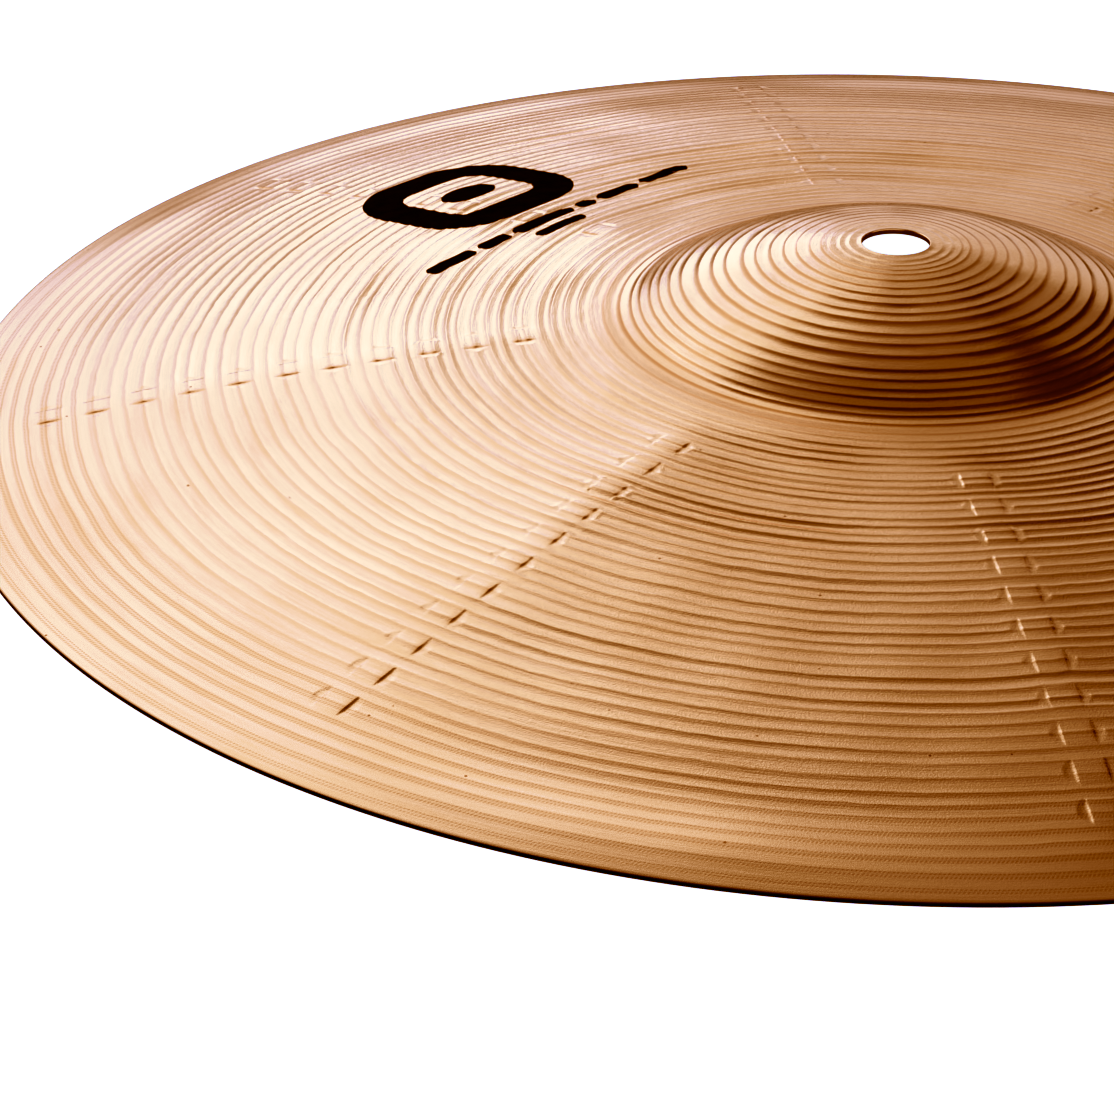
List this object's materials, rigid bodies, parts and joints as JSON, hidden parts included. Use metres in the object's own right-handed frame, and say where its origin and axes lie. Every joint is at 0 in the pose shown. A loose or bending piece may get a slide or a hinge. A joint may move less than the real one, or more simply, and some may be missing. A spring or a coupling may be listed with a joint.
{
  "type": "crash cymbal",
  "caption": "Crash cymbal: a thin round bronze plate with a domed bell, a shallow bow, radial rows of stamped half moon dimples and a centre hole for a stand.",
  "frame": {"origin": "centre of the rim, on the surface that the cymbal rests on with its bell up", "axes": "+Z along the axis of the hole, towards the bell; +X and +Y in the plane of the rim, with -Y the front and the print at the back left"},
  "size_m": [0.3556, 0.3556, 0.031],
  "materials": {
    "bronze": "lathed bell bronze with fine concentric grooves, bright, lightly brushed",
    "ink": "thin printed ink, satin black"
  },
  "bodies": {
    "root": {"cymbal_plate": "bronze", "printed_badge": "ink", "printed_caption": "ink"}
  },
  "joints": []
}
